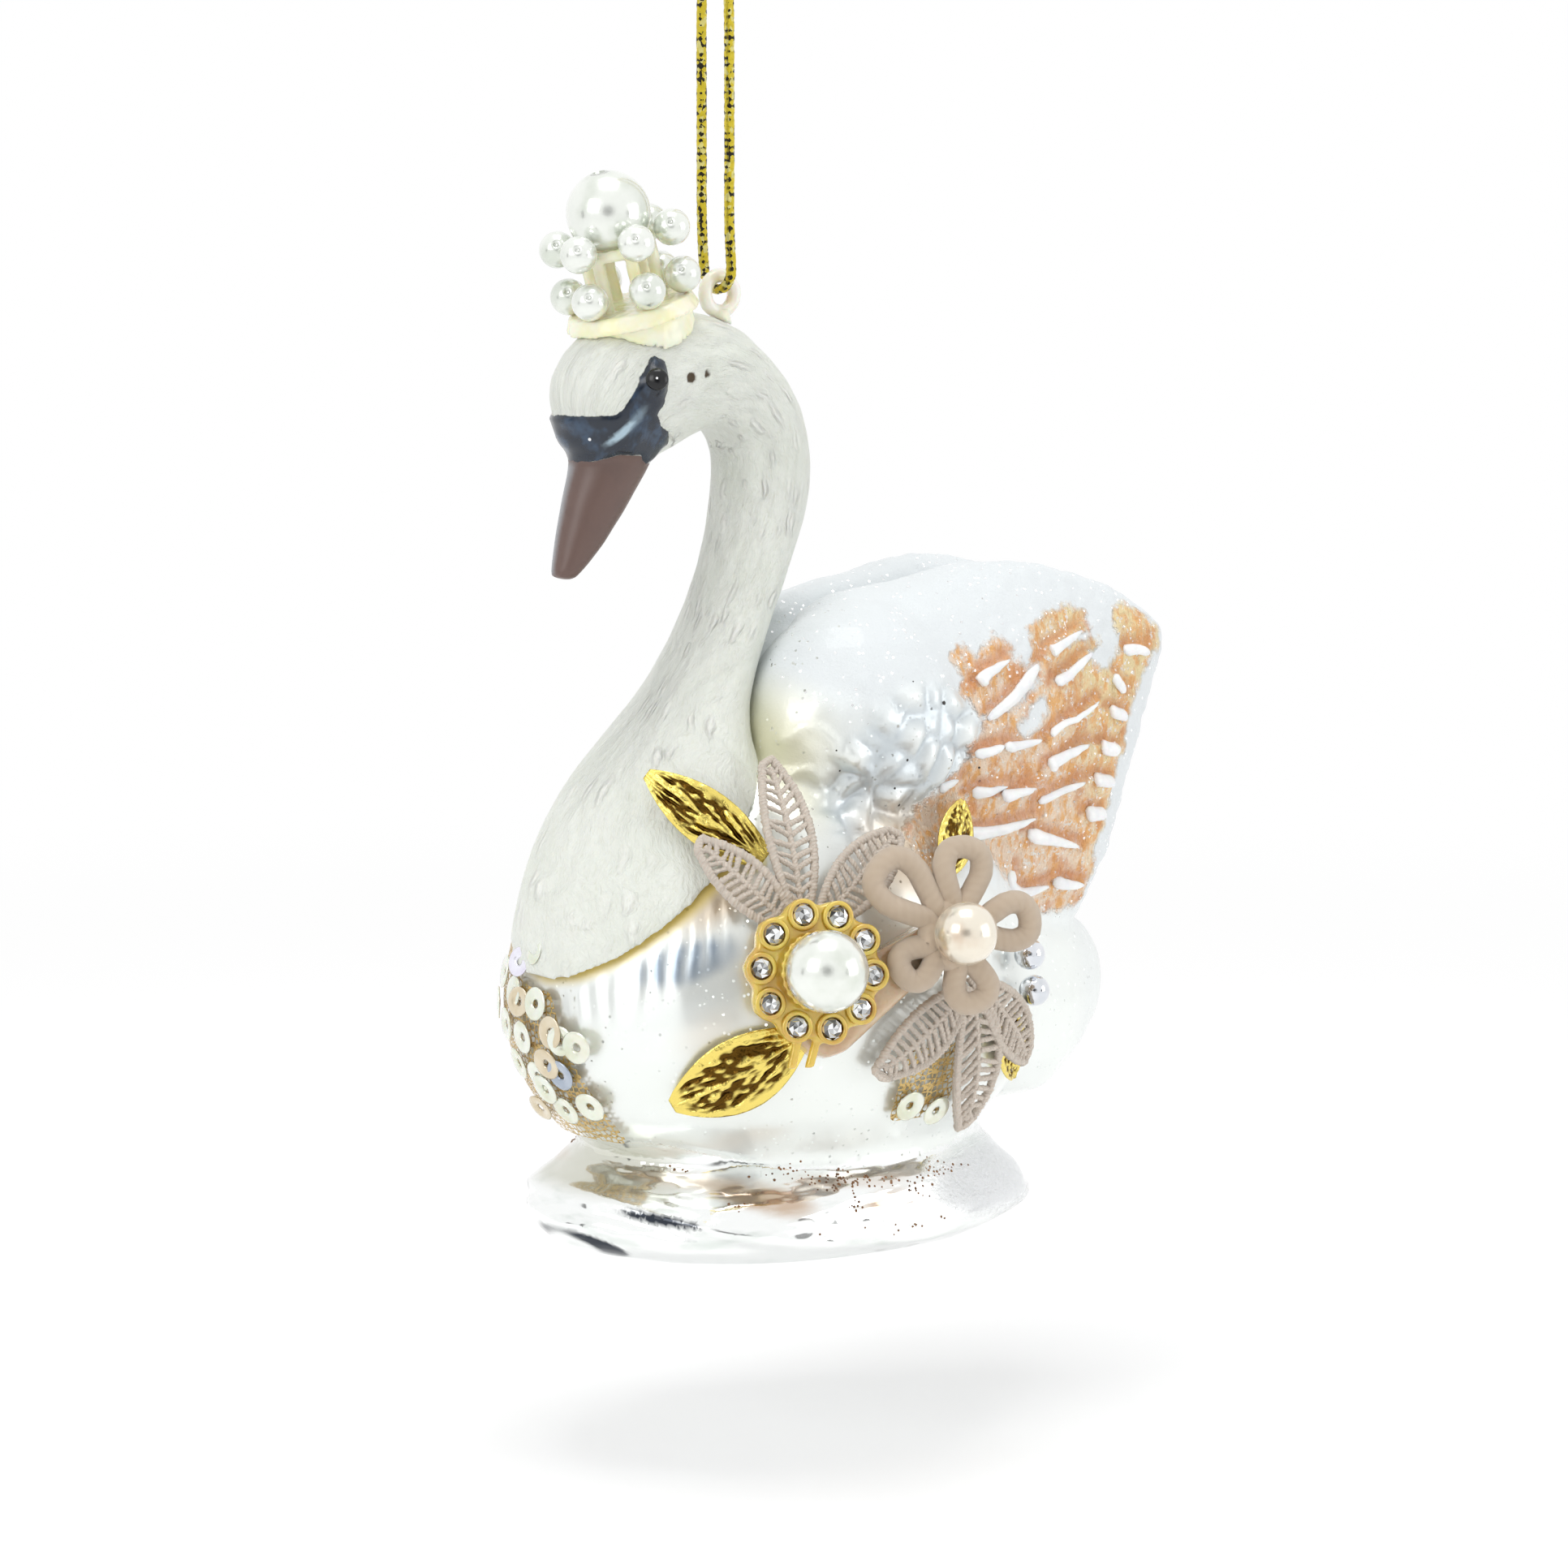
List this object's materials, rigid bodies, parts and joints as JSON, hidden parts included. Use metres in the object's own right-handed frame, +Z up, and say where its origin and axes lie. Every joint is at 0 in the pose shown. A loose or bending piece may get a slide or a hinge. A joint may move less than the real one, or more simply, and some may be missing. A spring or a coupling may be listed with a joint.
{
  "type": "swan christmas ornament",
  "caption": "Blown glass swan on a water-shaped plinth, with a moulded neck, a pearl crown, a spray of leaves, lace and a brooch on one flank, and a hanging cord.",
  "frame": {"origin": "top of the cord's knot, the point that the ornament hangs by", "axes": "+Z up along the hanging cord, -X the way the swan faces, -Y the side with the spray"},
  "size_m": [0.0921, 0.0684, 0.1651],
  "materials": {
    "silvered_glass": "blown glass, silvered inside, with a pearly white skin",
    "ivory_resin": "matt cast resin, hand painted",
    "cream_crown": "glossy moulded cream",
    "pearl": "pearlised imitation pearl",
    "eyelet_plastic": "milky moulded plastic",
    "gold_cord": "braided metallic gold thread",
    "amber_setting": "moulded amber gold",
    "rhinestone": "foiled clear faceted stone",
    "flower_cord": "satin soutache cord",
    "guipure_lace": "open guipure lace",
    "gold_leaf": "embossed gold foil leaf",
    "gold_tulle": "fine gold net",
    "sequin": "iridescent cup sequin",
    "silver_bead": "bright silver bead",
    "set_glue": "clear set glue"
  },
  "bodies": {
    "root": {"breast_sequin_1": "sequin", "breast_sequin_10": "sequin", "breast_sequin_11": "sequin", "breast_sequin_12": "sequin", "breast_sequin_2": "sequin", "breast_sequin_3": "sequin", "breast_sequin_4": "sequin", "breast_sequin_5": "sequin", "breast_sequin_6": "sequin", "breast_sequin_7": "sequin", "breast_sequin_8": "sequin", "breast_sequin_9": "sequin", "breast_tulle": "gold_tulle", "brooch_pearl": "pearl", "brooch_setting": "amber_setting", "cord_flower": "flower_cord", "cord_knot": "gold_cord", "crown_frame": "cream_crown", "crown_lower_pearl_1": "pearl", "crown_lower_pearl_2": "pearl", "crown_lower_pearl_3": "pearl", "crown_lower_pearl_4": "pearl", "crown_lower_pearl_5": "pearl", "crown_lower_pearl_6": "pearl", "crown_top_pearl": "pearl", "crown_upper_pearl_1": "pearl", "crown_upper_pearl_2": "pearl", "crown_upper_pearl_3": "pearl", "crown_upper_pearl_4": "pearl", "crown_upper_pearl_5": "pearl", "crown_upper_pearl_6": "pearl", "flank_sequin_1": "sequin", "flank_sequin_2": "sequin", "flank_tulle": "gold_tulle", "flower_pearl": "pearl", "glass_body": "silvered_glass", "glue_pad": "set_glue", "gold_leaf_1": "gold_leaf", "gold_leaf_2": "gold_leaf", "gold_leaf_3": "gold_leaf", "gold_leaf_4": "gold_leaf", "hanging_cord": "gold_cord", "hanging_eyelet": "eyelet_plastic", "lower_lace_sprig": "guipure_lace", "rhinestone_1": "rhinestone", "rhinestone_10": "rhinestone", "rhinestone_2": "rhinestone", "rhinestone_3": "rhinestone", "rhinestone_4": "rhinestone", "rhinestone_5": "rhinestone", "rhinestone_6": "rhinestone", "rhinestone_7": "rhinestone", "rhinestone_8": "rhinestone", "rhinestone_9": "rhinestone", "silver_bead_1": "silver_bead", "silver_bead_2": "silver_bead", "swan_neck": "ivory_resin", "upper_lace_sprig": "guipure_lace"}
  },
  "joints": []
}
